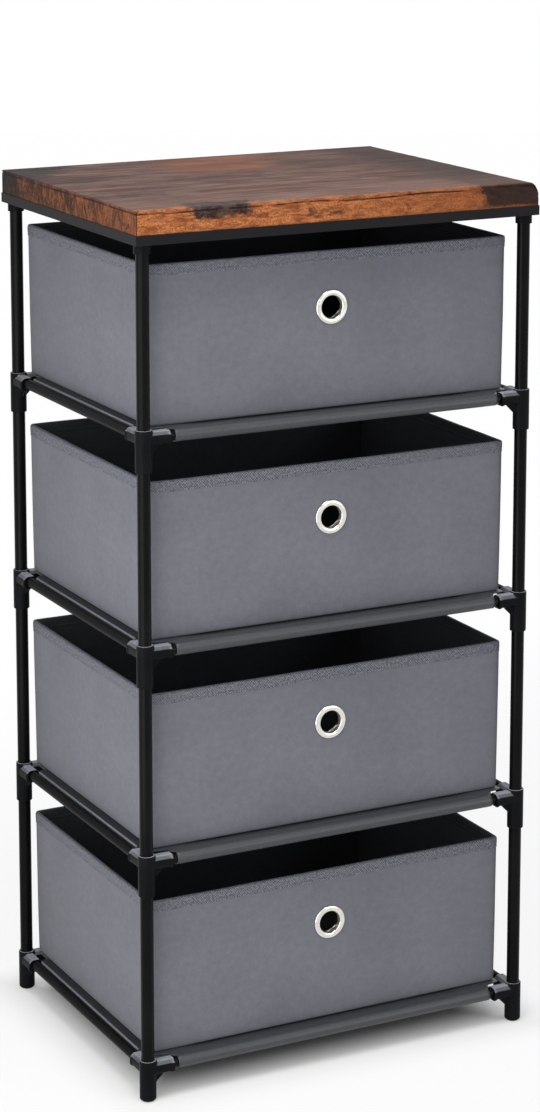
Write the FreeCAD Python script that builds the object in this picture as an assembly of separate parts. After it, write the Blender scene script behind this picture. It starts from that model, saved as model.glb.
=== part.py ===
import FreeCAD, Part
import math
import os

# Tall four-tier rack of plugged-together steel tubes with a thick wooden top.
# Every tier has a sewn fabric shelf that carries one loose, board-stiffened fabric drawer.
# Millimetres.  +Z is up, the drawers face -Y, and the origin is on the floor under the centre.

# ---- rack ----
leg_spacing_x = 482.0        # between leg axes, left to right
leg_spacing_y = 355.0        # between leg axes, front to rear
tier_pitch = 242.0           # from one corner connector to the next one up
tier_count = 4

# ---- steel tubes ----
upright_diameter = 15.0
upright_wall = 1.0
rail_diameter = 12.0
rail_wall = 1.0
tube_clearance = 0.05        # radial, between a tube and its socket

# ---- moulded corner connectors ----
sleeve_height = 48.0
sleeve_wall = 2.0
socket_depth = 16.0          # how far an upright goes into a sleeve or a top socket
foot_bevel = 2.5
arm_drop = 9.5               # from the top of the sleeve down to the axis of the arms
arm_reach = 30.0             # from the leg axis to the end of the collar
arm_half_width = 8.5
arm_roof_flat = 8.5          # width of the flat roof on an arm
arm_crease_height = 2.8      # where the roof slopes meet the upright sides, above the axis
arm_depth = 7.5              # from the axis down to the underside
arm_corner_radius = 4.5
collar_width = 3.0
collar_proud = 0.8
rail_insertion = 18.0        # how far a rail goes into an arm
gusset_reach = 21.5          # from the leg axis, along the underside of the arm
gusset_drop = 12.0
gusset_thickness = 3.0

# ---- sewn fabric shelves ----
sleeve_end_gap = 6.0         # from the collars of the front and rear arms to the sewn sleeves
shelf_fabric = 1.0
shelf_clearance = 0.3        # between the sewn sleeve and the rail inside it
sleeve_seam_reach = 24.0     # from the rail axis to the seam that closes the sewn sleeve
shelf_panel_thickness = 2.4  # the stiffened middle
shelf_panel_side_gap = 0.4   # from the flanks of the side rails
shelf_panel_end_gap = 2.5    # from the collars of the side arms

# ---- fabric drawers ----
drawer_clearance = 0.3       # between a drawer and the shelf under it
drawer_height = 180.0
drawer_side_gap = 2.5        # from the upright sleeves to the hem of the drawer
drawer_front_setback = 17.0  # from the front leg axes back to the drawer front
drawer_rear_setback = 1.5    # from the rear leg axes forward to the drawer rear
drawer_taper = 2.0           # each side wall leans in by this much at the bottom
drawer_corner_radius = 6.0
drawer_fabric = 1.2
drawer_board = 2.0
drawer_lining = 1.0
layer_gap = 0.1              # between the layers of a drawer wall
hem_height = 13.0
hem_proud = 0.5
hem_cap = 1.5                # fabric folded over the top edge of the boards
base_board_thickness = 2.5
base_board_gap = 1.5

# ---- ring eyelets ----
eyelet_drop = 65.0           # from the top edge of the drawer to the eyelet's centre
eyelet_hole_radius = 12.0
eyelet_flange_radius = 19.0
eyelet_crest_radius = 15.0
eyelet_crest = 2.4           # how far the flange stands out from the drawer
eyelet_throat = 1.2          # how far it stands out at the mouth of the barrel
eyelet_metal = 0.8
eyelet_back_radius = 17.5    # the barrel is rolled over into a flange behind the lining
eyelet_hole_gap = 0.2

# ---- top ----
top_overhang = 13.0          # beyond the leg axes
top_board_thickness = 27.0
top_end_radius = 12.0        # the right-hand end is rounded over
top_edge_radius = 1.5
top_corner_radius = 4.0
backing_thickness = 11.0
top_socket_height = 10.0     # below the backing panel
top_socket_floor = 2.5

# ---- worked-out sizes ----
upright_radius = upright_diameter / 2
rail_radius = rail_diameter / 2
socket_radius = upright_radius + tube_clearance
sleeve_radius = socket_radius + sleeve_wall
shelf_sleeve_radius = rail_radius + shelf_clearance + shelf_fabric
shelf_sleeve_width = leg_spacing_x - 2 * (arm_reach + sleeve_end_gap)
top_backing_z = tier_count * tier_pitch + top_socket_height
top_socket_inset = socket_depth + top_socket_floor - top_socket_height
top_half_x = leg_spacing_x / 2 + top_overhang
top_half_y = leg_spacing_y / 2 + top_overhang
drawer_half_width = leg_spacing_x / 2 - sleeve_radius - drawer_side_gap - hem_proud
drawer_front_y = -leg_spacing_y / 2 + drawer_front_setback
drawer_rear_y = leg_spacing_y / 2 - drawer_rear_setback
lining_inset = drawer_fabric + drawer_board + 2 * layer_gap
drawer_wall = lining_inset + drawer_lining

CORNERS = {"front_left": (-1, -1), "front_right": (1, -1), "rear_left": (-1, 1), "rear_right": (1, 1)}

X_AXIS = FreeCAD.Vector(1, 0, 0)
Y_AXIS = FreeCAD.Vector(0, 1, 0)
Z_AXIS = FreeCAD.Vector(0, 0, 1)
CENTRE = FreeCAD.Vector(0, 0, 0)


def point(x, y, z):
    return FreeCAD.Vector(x, y, z)


def box(low, high):
    """A box between two opposite corners."""
    size = high - low
    return Part.makeBox(size.x, size.y, size.z, low)


def tube(start, length, direction, radius, wall):
    """A round tube with open ends."""
    outer = Part.makeCylinder(radius, length, start, direction)
    return outer.cut(Part.makeCylinder(radius - wall, length, start, direction))


def leg_axis(corner):
    """The point on the floor under the leg at a corner."""
    side_x, side_y = CORNERS[corner]
    return point(side_x * leg_spacing_x / 2, side_y * leg_spacing_y / 2, 0)


def connector_top(tier):
    """The top of the sleeves of a tier; tier 1 stands on the floor."""
    return (tier - 1) * tier_pitch + sleeve_height


def arm_axis_z(tier):
    return connector_top(tier) - arm_drop


def shelf_top(tier):
    return arm_axis_z(tier) + shelf_sleeve_radius


# ---- corner connectors ----

def arm_section(proud, x):
    """The outline of an arm across +X: a flat roof, two slopes, upright sides and a rounded underside.

    proud widens the sides and the underside, and leaves the roof flush with the shelf.
    """
    roof = shelf_sleeve_radius
    side = arm_half_width + proud
    under = -arm_depth - proud
    bend = arm_corner_radius
    lean = bend * (1 - math.sqrt(0.5))
    right = [
        point(x, arm_roof_flat / 2, roof),
        point(x, side, arm_crease_height),
        point(x, side, under + bend),
        point(x, side - bend, under),
    ]
    left = [point(x, -p.y, p.z) for p in right]
    edges = [
        Part.makeLine(left[0], right[0]),
        Part.makeLine(right[0], right[1]),
        Part.makeLine(right[1], right[2]),
        Part.Arc(right[2], point(x, side - lean, under + lean), right[3]).toShape(),
        Part.makeLine(right[3], left[3]),
        Part.Arc(left[3], point(x, -side + lean, under + lean), left[2]).toShape(),
        Part.makeLine(left[2], left[1]),
        Part.makeLine(left[1], left[0]),
    ]
    return Part.Face(Part.Wire(edges))


def gusset():
    """The web in the corner between the sleeve and the underside of an arm along +X."""
    root = sleeve_radius - sleeve_wall / 2
    side = -gusset_thickness / 2
    outline = Part.makePolygon([
        point(root, side, -arm_depth / 2),
        point(gusset_reach, side, -arm_depth / 2),
        point(gusset_reach, side, -arm_depth),
        point(sleeve_radius, side, -arm_depth - gusset_drop),
        point(root, side, -arm_depth - gusset_drop),
        point(root, side, -arm_depth / 2),
    ])
    return Part.Face(outline).extrude(Y_AXIS * gusset_thickness)


def arm():
    """One arm along +X from the leg axis, with its collar and the gusset under it."""
    body = arm_section(0, 0).extrude(X_AXIS * arm_reach)
    collar = arm_section(collar_proud, arm_reach - collar_width).extrude(X_AXIS * collar_width)
    return body.multiFuse([collar, gusset()])


def rail_socket():
    """What an arm along +X is hollowed by."""
    start = point(arm_reach - rail_insertion, 0, 0)
    return Part.makeCylinder(rail_radius + tube_clearance, rail_insertion, start, X_AXIS)


def turned_arm(shape, turn):
    """A shape built along +X, turned about the leg and brought down to the height of the arms."""
    shape.rotate(CENTRE, Z_AXIS, turn)
    shape.translate(point(0, 0, -arm_drop))
    return shape


def sleeve(is_foot):
    """The upright sleeve, with its top at z = 0; a foot is bevelled where it meets the floor."""
    body = Part.makeCylinder(sleeve_radius, sleeve_height, point(0, 0, -sleeve_height))
    if not is_foot:
        return body
    bottom = [e for e in body.Edges if e.BoundBox.ZMax < -sleeve_height / 2]
    return body.makeChamfer(foot_bevel, bottom)


def upright_sockets(is_foot):
    """What a sleeve is hollowed by: a socket at the top, and another at the bottom above the foot."""
    upper = Part.makeCylinder(socket_radius, socket_depth, point(0, 0, -socket_depth))
    if is_foot:
        return [upper]
    return [upper, Part.makeCylinder(socket_radius, socket_depth, point(0, 0, -sleeve_height))]


def connector(corner, tier):
    """A corner connector: a sleeve for the uprights and an arm for each of the two rails."""
    side_x, side_y = CORNERS[corner]
    turns = (0 if side_x < 0 else 180, -90 * side_y)
    is_foot = tier == 1
    arms = [turned_arm(arm(), turn) for turn in turns]
    hollows = upright_sockets(is_foot) + [turned_arm(rail_socket(), turn) for turn in turns]
    body = sleeve(is_foot).multiFuse(arms).cut(hollows).removeSplitter()
    body.translate(leg_axis(corner) + point(0, 0, connector_top(tier)))
    return body


# ---- tubes ----

def leg_tubes(corner):
    """The uprights of one leg, one for each tier, with both ends in their sockets."""
    length = tier_pitch - sleeve_height + 2 * socket_depth
    uprights = []
    for tier in range(1, tier_count + 1):
        start = leg_axis(corner) + point(0, 0, connector_top(tier) - socket_depth)
        uprights.append(tube(start, length, Z_AXIS, upright_radius, upright_wall))
    return Part.makeCompound(uprights)


def shelf_rail(side_y, tier):
    """A front or rear rail, between the ends of its two sockets."""
    length = leg_spacing_x - 2 * (arm_reach - rail_insertion)
    start = point(-length / 2, side_y * leg_spacing_y / 2, arm_axis_z(tier))
    return tube(start, length, X_AXIS, rail_radius, rail_wall)


def side_rails(tier):
    """The left and right rails of a tier."""
    length = leg_spacing_y - 2 * (arm_reach - rail_insertion)
    rails = []
    for side_x in (-1, 1):
        start = point(side_x * leg_spacing_x / 2, -length / 2, arm_axis_z(tier))
        rails.append(tube(start, length, Y_AXIS, rail_radius, rail_wall))
    return Part.makeCompound(rails)


# ---- fabric shelves ----

def teardrop(radius, seam_reach):
    """The outline of a sewn sleeve round a rail on the X axis: round at -Y, drawn to a point at +Y.

    The flat top runs from the crown to the seam, and the underside leaves the circle at a tangent.
    """
    touch = math.pi / 2 - 2 * math.atan2(seam_reach, radius)
    middle = (math.pi / 2 + touch + 2 * math.pi) / 2
    seam = point(0, seam_reach, radius)
    crown = point(0, 0, radius)
    far = point(0, radius * math.cos(middle), radius * math.sin(middle))
    leaving = point(0, radius * math.cos(touch), radius * math.sin(touch))
    edges = [
        Part.Arc(crown, far, leaving).toShape(),
        Part.makeLine(leaving, seam),
        Part.makeLine(seam, crown),
    ]
    return Part.Face(Part.Wire(edges))


def sewn_sleeve(radius, side_y):
    """A teardrop solid over the front or the rear rail."""
    seam_reach = sleeve_seam_reach * radius / shelf_sleeve_radius
    solid = teardrop(radius, seam_reach).extrude(X_AXIS * shelf_sleeve_width)
    if side_y > 0:
        solid.rotate(point(shelf_sleeve_width / 2, 0, 0), Z_AXIS, 180)
    solid.translate(point(-shelf_sleeve_width / 2, side_y * leg_spacing_y / 2, 0))
    return solid


def fabric_shelf(tier):
    """A sheet over both rails, sewn back to itself under each, with a wide stiffened middle.

    The middle reaches over the side rails, as far as its underside stays clear of their flanks.
    """
    half_x = shelf_sleeve_width / 2
    half_y = leg_spacing_y / 2
    sheet = box(
        point(-half_x, -half_y, shelf_sleeve_radius - shelf_fabric),
        point(half_x, half_y, shelf_sleeve_radius),
    )
    panel_underside = shelf_sleeve_radius - shelf_panel_thickness
    rail_flank = math.sqrt(max(rail_radius ** 2 - panel_underside ** 2, 0))
    panel_x = leg_spacing_x / 2 - rail_flank - shelf_panel_side_gap
    panel_y = half_y - arm_reach - shelf_panel_end_gap
    panel = box(
        point(-panel_x, -panel_y, panel_underside),
        point(panel_x, panel_y, shelf_sleeve_radius),
    )
    sleeves = [sewn_sleeve(shelf_sleeve_radius, side) for side in (-1, 1)]
    hollows = [sewn_sleeve(shelf_sleeve_radius - shelf_fabric, side) for side in (-1, 1)]
    shelf = sheet.multiFuse([panel] + sleeves).cut(hollows).removeSplitter()
    shelf.translate(point(0, 0, arm_axis_z(tier)))
    return shelf


# ---- fabric drawers, built with the underside at z = 0 ----

def drawer_outline(inset, z):
    """The rounded rectangle of a drawer at a height, drawn in by inset."""
    half_x = drawer_half_width - drawer_taper * (1 - z / drawer_height) - inset
    front = drawer_front_y + inset
    rear = drawer_rear_y - inset
    block = box(point(-half_x, front, z), point(half_x, rear, z + 1))
    uprights = [e for e in block.Edges if e.BoundBox.ZLength > 0.5]
    rounded = block.makeFillet(drawer_corner_radius - inset, uprights)
    base = [f for f in rounded.Faces if f.BoundBox.ZMax < z + 0.5]
    return base[0].OuterWire


def drawer_form(inset, low, high):
    """A solid block of the drawer's shape between two heights."""
    return Part.makeLoft([drawer_outline(inset, low), drawer_outline(inset, high)], True, True)


def eyelet_bore():
    """The round cut for the eyelet through every layer of the front wall."""
    radius = eyelet_hole_radius + eyelet_metal + eyelet_hole_gap
    start = point(0, drawer_front_y - drawer_wall, drawer_height - eyelet_drop)
    return Part.makeCylinder(radius, 3 * drawer_wall, start, Y_AXIS)


def drawer_shell():
    """The outer fabric: floor and walls, folded over the boards into a hem round the mouth."""
    hem_low = drawer_height - hem_height
    slot_top = drawer_height - hem_cap
    bag = drawer_form(0, 0, hem_low).cut([
        drawer_form(drawer_fabric, drawer_fabric, hem_low),
        eyelet_bore(),
    ])
    slot = drawer_form(drawer_fabric, hem_low, slot_top).cut(drawer_form(lining_inset, hem_low, slot_top))
    mouth = drawer_form(drawer_wall, hem_low, drawer_height)
    hem = drawer_form(-hem_proud, hem_low, drawer_height).cut([slot, mouth])
    return bag.fuse(hem).removeSplitter()


def drawer_wall_boards():
    """Four stiff boards between the outer fabric and the lining, one for each wall."""
    low = drawer_fabric + layer_gap
    high = drawer_height - hem_cap - layer_gap
    ring = drawer_form(low, low, high).cut([drawer_form(low + drawer_board, low, high), eyelet_bore()])
    side_in = drawer_half_width - drawer_taper - drawer_corner_radius
    front_in = drawer_front_y + drawer_corner_radius
    rear_in = drawer_rear_y - drawer_corner_radius
    side_cells = [
        box(point(-drawer_half_width, front_in, low), point(-side_in, rear_in, high)),
        box(point(side_in, front_in, low), point(drawer_half_width, rear_in, high)),
    ]
    end_cells = [
        box(point(-side_in, drawer_front_y, low), point(side_in, front_in, high)),
        box(point(-side_in, rear_in, low), point(side_in, drawer_rear_y, high)),
    ]
    return Part.makeCompound([ring.common(cell).Solids[0] for cell in side_cells + end_cells])


def drawer_lining_bag():
    """The black lining: a thin floor and walls that end under the hem."""
    low = drawer_fabric + layer_gap
    high = drawer_height - hem_height - layer_gap
    inner = drawer_form(drawer_wall, low + drawer_lining, high)
    return drawer_form(lining_inset, low, high).cut([inner, eyelet_bore()])


def drawer_base_board():
    """The loose stiff board that lies on the drawer's floor."""
    low = drawer_fabric + layer_gap + drawer_lining
    inset = drawer_wall + base_board_gap
    half_x = drawer_half_width - drawer_taper - inset
    return box(
        point(-half_x, drawer_front_y + inset, low),
        point(half_x, drawer_rear_y - inset, low + base_board_thickness),
    )


def drawer_eyelet():
    """A metal eyelet turned about Y: a raised flange, a barrel through the wall and a rolled-over back."""
    barrel_radius = eyelet_hole_radius + eyelet_metal
    back_front = drawer_wall + layer_gap
    back_rear = back_front + eyelet_metal
    outline = Part.makePolygon([
        point(eyelet_flange_radius, 0, 0),
        point(eyelet_flange_radius, -eyelet_metal, 0),
        point(eyelet_crest_radius, -eyelet_crest, 0),
        point(eyelet_hole_radius, -eyelet_throat, 0),
        point(eyelet_hole_radius, back_rear, 0),
        point(eyelet_back_radius, back_rear, 0),
        point(eyelet_back_radius, back_front, 0),
        point(barrel_radius, back_front, 0),
        point(barrel_radius, 0, 0),
        point(eyelet_flange_radius, 0, 0),
    ])
    ring = Part.Face(outline).revolve(CENTRE, Y_AXIS, 360)
    ring.translate(point(0, drawer_front_y, drawer_height - eyelet_drop))
    return ring


# ---- top ----

def top_board():
    """The thick wooden board: the right-hand end rounded over, the edges eased and the corners rounded."""
    low = top_backing_z + backing_thickness
    high = low + top_board_thickness
    board = box(point(-top_half_x, -top_half_y, low), point(top_half_x, top_half_y, high))
    crest = [e for e in board.Edges if e.BoundBox.XMin > top_half_x - 1 and e.BoundBox.ZMin > high - 1]
    board = board.makeFillet(top_end_radius, crest)
    long_edges = [
        e for e in board.Edges
        if min(abs(e.BoundBox.YMin - top_half_y), abs(e.BoundBox.YMax + top_half_y)) < 1
        and e.BoundBox.ZMin > low + 1
    ]
    board = board.makeFillet(top_edge_radius, long_edges)
    plan = box(point(-top_half_x, -top_half_y, low), point(top_half_x, top_half_y, high))
    uprights = [e for e in plan.Edges if e.BoundBox.ZLength > top_board_thickness / 2]
    return board.common(plan.makeFillet(top_corner_radius, uprights))


def top_backing_panel():
    """The black panel under the board, bored from below for the sockets of the legs."""
    high = top_backing_z + backing_thickness
    panel = box(point(-top_half_x, -top_half_y, top_backing_z), point(top_half_x, top_half_y, high))
    bore = Part.makeCylinder(sleeve_radius + tube_clearance, top_socket_inset, point(0, 0, top_backing_z))
    return panel.cut([bore.translated(leg_axis(corner)) for corner in CORNERS])


def top_sockets():
    """A plain cup on each leg, let into the backing panel; the top upright goes in from below."""
    low = top_backing_z - top_socket_height
    cup = Part.makeCylinder(sleeve_radius, socket_depth + top_socket_floor, point(0, 0, low))
    cup = cup.cut(Part.makeCylinder(socket_radius, socket_depth, point(0, 0, low)))
    return Part.makeCompound([cup.translated(leg_axis(corner)) for corner in CORNERS])


# ---- assembly ----

def build():
    """Every piece of the dresser in its place, by name."""
    parts = {}
    for corner in CORNERS:
        parts[f"{corner}_foot_connector"] = connector(corner, 1)
        for tier in range(2, tier_count + 1):
            parts[f"{corner}_connector_{tier}"] = connector(corner, tier)
        parts[f"{corner}_leg_tubes"] = leg_tubes(corner)
    drawer = {
        "shell": drawer_shell(),
        "wall_boards": drawer_wall_boards(),
        "lining": drawer_lining_bag(),
        "base_board": drawer_base_board(),
        "eyelet": drawer_eyelet(),
    }
    for tier in range(1, tier_count + 1):
        parts[f"front_rail_{tier}"] = shelf_rail(-1, tier)
        parts[f"rear_rail_{tier}"] = shelf_rail(1, tier)
        parts[f"side_rails_{tier}"] = side_rails(tier)
        parts[f"fabric_shelf_{tier}"] = fabric_shelf(tier)
        lift = point(0, 0, shelf_top(tier) + drawer_clearance)
        for name, shape in drawer.items():
            parts[f"drawer_{tier}_{name}"] = shape.translated(lift)
    parts["top_board"] = top_board()
    parts["top_backing_panel"] = top_backing_panel()
    parts["top_sockets"] = top_sockets()
    return parts


os.makedirs("parts", exist_ok=True)
for node, shape in build().items():
    shape.exportStep(f"parts/{node}.step")
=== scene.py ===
import math

import bmesh
import bpy
from bpy.props import FloatProperty, FloatVectorProperty, IntProperty, PointerProperty
from mathutils import Matrix, Vector, noise


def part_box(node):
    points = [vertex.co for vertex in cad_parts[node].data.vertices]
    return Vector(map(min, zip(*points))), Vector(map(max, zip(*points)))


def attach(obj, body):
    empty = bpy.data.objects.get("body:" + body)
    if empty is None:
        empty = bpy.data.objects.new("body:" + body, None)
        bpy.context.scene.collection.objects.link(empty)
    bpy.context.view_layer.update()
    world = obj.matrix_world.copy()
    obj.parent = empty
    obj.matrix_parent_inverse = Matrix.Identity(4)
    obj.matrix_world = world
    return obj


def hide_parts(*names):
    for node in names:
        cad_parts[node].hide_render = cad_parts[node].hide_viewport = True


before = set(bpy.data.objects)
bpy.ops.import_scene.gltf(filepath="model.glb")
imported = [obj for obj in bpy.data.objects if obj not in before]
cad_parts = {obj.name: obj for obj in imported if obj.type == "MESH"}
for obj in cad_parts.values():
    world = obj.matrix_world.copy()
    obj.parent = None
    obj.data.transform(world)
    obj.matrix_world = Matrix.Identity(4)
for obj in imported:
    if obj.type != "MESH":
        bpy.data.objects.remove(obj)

bl_info = {
    "name": "Drawer tower",
    "version": (1, 0, 0),
    "blender": (4, 5, 0),
    "location": "View3D > Sidebar > Drawer tower",
    "description": "Dresses the drawer tower's frame with its cloth, mouldings, board and stage",
    "category": "Object",
}

MM = 0.001
RACK = "rack"
TIERS = range(1, 1 + sum(name.startswith("fabric_shelf_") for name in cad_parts))
BINDING_SEAM = 2.6 * MM      # from the lower edge of a drawer's binding up to its seam
SAME_POINT = 1e-7            # points closer than this are merged


def colour(name, description, default):
    """A colour property with three channels."""
    return FloatVectorProperty(
        name=name, description=description, subtype="COLOR", size=3, min=0.0, max=1.0, default=default)


def length(name, description, default):
    """A length property in metres."""
    return FloatProperty(
        name=name, description=description, unit="LENGTH", precision=4, min=0.0, default=default)


# ---- what a user may change ----

class ClothSettings(bpy.types.PropertyGroup):
    """Sizes and colours of everything that is sewn."""
    drawer_colour: colour("Drawer cloth", "Non-woven cloth outside the drawers", (0.160, 0.164, 0.192))
    binding_light: colour("Binding, light threads", "Light threads round the mouth", (0.30, 0.31, 0.36))
    binding_dark: colour("Binding, dark threads", "Dark threads round the mouth", (0.055, 0.058, 0.072))
    lining_colour: colour("Lining", "Cloth inside the drawers", (0.038, 0.042, 0.049))
    shelf_colour: colour("Shelf cloth", "Cloth of the shelves", (0.030, 0.032, 0.038))
    # painted highlight: the corded hem is real, and its light grey stands in for the light catching the
    # shelf's side edge
    hem_highlight_colour: colour("Shelf hem", "Corded hem along the sides of a shelf", (0.160, 0.168, 0.190))
    thread_colour: colour("Thread", "Sewing thread", (0.09, 0.09, 0.10))
    cloth_thickness: length("Cloth thickness", "Outer cloth of a drawer", 1.0 * MM)
    lining_thickness: length("Lining thickness", "Lining of a drawer", 0.8 * MM)
    binding_height: length("Binding height", "Band round the mouth of a drawer", 13.0 * MM)
    binding_thickness: length("Binding thickness", "One layer of the band", 0.5 * MM)
    shelf_thickness: length("Shelf cloth thickness", "Cloth round the rails", 1.0 * MM)
    shelf_dip: length("Shelf dip", "How far the shelf sinks between a rail and its stiff middle", 1.6 * MM)
    wall_wave: length("Wall waves", "How far the outer cloth stands off its boards", 0.7 * MM)
    lining_wave: length("Lining waves", "How far the lining stands off its boards", 1.6 * MM)
    stitch_length: length("Stitch length", "One stitch", 3.0 * MM)
    stitch_gap: length("Stitch gap", "Between one stitch and the next", 1.3 * MM)
    thread_radius: length("Thread radius", "Half the thickness of the thread", 0.3 * MM)


class RackSettings(bpy.types.PropertyGroup):
    """Finish of the tubes and the corner mouldings."""
    paint_colour: colour("Tube paint", "Glossy coating of the tubes", (0.0035, 0.0033, 0.0035))
    plastic_colour: colour("Plastic", "Moulded corner connectors", (0.005, 0.0055, 0.0065))
    # painted light: this lighter grey goes on the upward flats of the connectors, for the light from above
    painted_top_light_colour: colour("Dust", "Settled dust on the flats of the connectors", (0.285, 0.298, 0.330))
    moulding_grain: length("Moulding mesh", "Grid that the mouldings are rounded on", 0.8 * MM)
    moulding_rounding: IntProperty(
        name="Rounding", description="How often the moulded edges are eased", min=0, max=20, default=3)


class TopSettings(bpy.types.PropertyGroup):
    """Colours of the board and the panel under it."""
    face_dark: colour("Top, dark", "Dark heartwood on the top face", (0.052, 0.024, 0.020))
    face_grey: colour("Top, grey", "Weathered grey on the top face", (0.136, 0.080, 0.063))
    face_red: colour("Top, red", "Reddish streaks on the top face", (0.300, 0.132, 0.084))
    edge_light: colour("Edge, light", "Fresh wood on the edges", (0.640, 0.228, 0.080))
    edge_deep: colour("Edge, deep", "Darker wood on the edges", (0.250, 0.075, 0.024))
    # char also colours the painted shade on the rounded right end and in the cracks
    char: colour("Char", "Scorched places and cracks", (0.012, 0.009, 0.009))
    ash: colour("Ash", "Grey bloom on the scorched places", (0.080, 0.064, 0.060))
    panel_colour: colour("Backing panel", "Painted panel under the board", (0.007, 0.007, 0.008))
    end_rounding: length("End rounding", "How far the right end is rounded along the board", 12.0 * MM)
    end_drop: length("End drop", "How far down the same rounding reaches", 21.0 * MM)
    edge_wear: length("Edge wear", "How far the top edge is worn round", 2.2 * MM)
    hewing: length("Hewing", "Depth of the tool marks on the edges", 0.4 * MM)
    crack_depth: length("Crack depth", "Depth of the cracks round the edge", 0.9 * MM)


class StageSettings(bpy.types.PropertyGroup):
    """Camera, floor and light."""
    camera_place: FloatVectorProperty(
        name="Camera", description="Where the camera stands", unit="LENGTH", size=3,
        default=(-1.55136, -3.02953, 1.47576))
    camera_pan: FloatProperty(
        name="Pan", description="Turn to the right of straight ahead", subtype="ANGLE",
        default=math.radians(27.188))
    camera_tilt: FloatProperty(
        name="Tilt", description="Turn below the horizon", subtype="ANGLE", default=math.radians(9.568))
    camera_lens: FloatProperty(
        name="Lens", description="Focal length in millimetres on a 36 mm sensor", default=95.682)
    camera_shift: FloatProperty(
        name="Shift", description="Lens shift, as a share of the frame's long side", default=-0.255)
    floor_colour: colour("Floor", "Pale floor", (0.88, 0.87, 0.86))


# ---- materials ----

def shaded(tone, share):
    """A colour made darker or lighter."""
    return [share * c for c in tone]


def feed(tree, socket, value):
    """Links a socket to another one, or sets its number or colour."""
    if isinstance(value, bpy.types.NodeSocket):
        tree.links.new(value, socket)
    elif socket.type == "RGBA" and len(value) == 3:
        socket.default_value = (*value, 1.0)
    else:
        socket.default_value = value


def add_node(tree, kind, inputs, settings):
    """A node with its settings set and its inputs fed."""
    made = tree.nodes.new(kind)
    for key, value in settings.items():
        setattr(made, key, value)
    for key, value in inputs.items():
        feed(tree, made.inputs[key], value)
    return made


class Recipe:
    """Builds one node material. A socket or a plain value goes in, and a socket comes out."""

    def __init__(self, name):
        self.material = bpy.data.materials.new(name)
        self.material.use_nodes = True
        self.tree = self.material.node_tree
        self.shader = self.tree.nodes["Principled BSDF"]

    def node(self, kind, inputs=None, **settings):
        """A node of the material."""
        return add_node(self.tree, kind, inputs or {}, settings)

    def surface(self, **values):
        """Feeds the shader, with an underscore for each space in a socket's name."""
        for key, value in values.items():
            feed(self.tree, self.shader.inputs[key.replace("_", " ")], value)

    def place(self):
        """Where a point lies on the object."""
        return self.node("ShaderNodeTexCoord").outputs["Object"]

    def cloth_place(self):
        """Where a point lies on the flat cloth."""
        return self.node("ShaderNodeUVMap", uv_map="cloth").outputs[0]

    def parts(self, vector):
        """The three numbers of a vector."""
        return self.node("ShaderNodeSeparateXYZ", {0: vector}).outputs

    def facing(self):
        """The way the surface faces, as three numbers."""
        return self.parts(self.node("ShaderNodeTexCoord").outputs["Normal"])

    def stretched(self, vector, scale):
        """The same place, measured with other scales."""
        return self.node("ShaderNodeMapping", {"Vector": vector, "Scale": scale}).outputs[0]

    def noise(self, vector, scale, detail=2.0, roughness=0.5, distortion=0.0):
        """A cloudy value that stays round 0.5."""
        return self.node("ShaderNodeTexNoise", {
            "Vector": vector, "Scale": scale, "Detail": detail, "Roughness": roughness,
            "Distortion": distortion}).outputs["Fac"]

    def math(self, operation, a, b=0.0):
        """One step of arithmetic."""
        return self.node("ShaderNodeMath", {0: a, 1: b}, operation=operation).outputs[0]

    def plus(self, a, b):
        """The sum."""
        return self.math("ADD", a, b)

    def minus(self, a, b):
        """The difference."""
        return self.math("SUBTRACT", a, b)

    def times(self, first, *others):
        """The product of all of them."""
        for other in others:
            first = self.math("MULTIPLY", first, other)
        return first

    def between(self, value, low, high):
        """0 at low and 1 at high, with a smooth rise; low may be the larger one."""
        return self.node("ShaderNodeMapRange", {"Value": value, "From Min": low, "From Max": high},
                         interpolation_type="SMOOTHSTEP").outputs[0]

    def span(self, value, low, high, start, end):
        """A plain linear change of range."""
        return self.node("ShaderNodeMapRange", {
            "Value": value, "From Min": low, "From Max": high, "To Min": start, "To Max": end}).outputs[0]

    def mixed(self, share, a, b):
        """Colour a where share is 0 and colour b where it is 1."""
        return self.node("ShaderNodeMix", {"Factor": share, 6: a, 7: b}, data_type="RGBA").outputs[2]

    def over(self, below, tone, value, low, high, share):
        """Lays a tone over a colour where value goes from low to high, share strong at most."""
        return self.mixed(self.times(self.between(value, low, high), share), below, tone)

    def bump(self, height, distance):
        """A relief as deep as distance."""
        made = self.node("ShaderNodeBump", {"Height": height, "Distance": distance, "Strength": 1.0})
        return made.outputs[0]


def on_show(tree):
    """A value of 1 for the rays that see, mirror or pass through to the surroundings, 0 for the others."""
    path = add_node(tree, "ShaderNodeLightPath", {}, {}).outputs
    most = path["Is Camera Ray"]
    for kind in ("Is Glossy Ray", "Is Transmission Ray"):
        most = add_node(tree, "ShaderNodeMath", {0: most, 1: path[kind]}, {"operation": "MAXIMUM"}).outputs[0]
    return most


def painted_steel(rack, name, smooth, rough, shine):
    """Glossy black coating with a faint orange peel and a little handling wear.

    smooth and rough are its roughness where it is least and most worn.
    """
    r = Recipe(name)
    place = r.place()
    peel = r.noise(place, 420.0)
    smudge = r.noise(place, 14.0, 4.0, 0.6)
    r.surface(
        Base_Color=r.mixed(r.between(smudge, 0.35, 0.75), rack.paint_colour, shaded(rack.paint_colour, 1.9)),
        Roughness=r.span(smudge, 0.25, 0.75, smooth, rough),
        Specular_IOR_Level=shine,
        Normal=r.bump(peel, 0.04 * MM))
    return r.material


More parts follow.
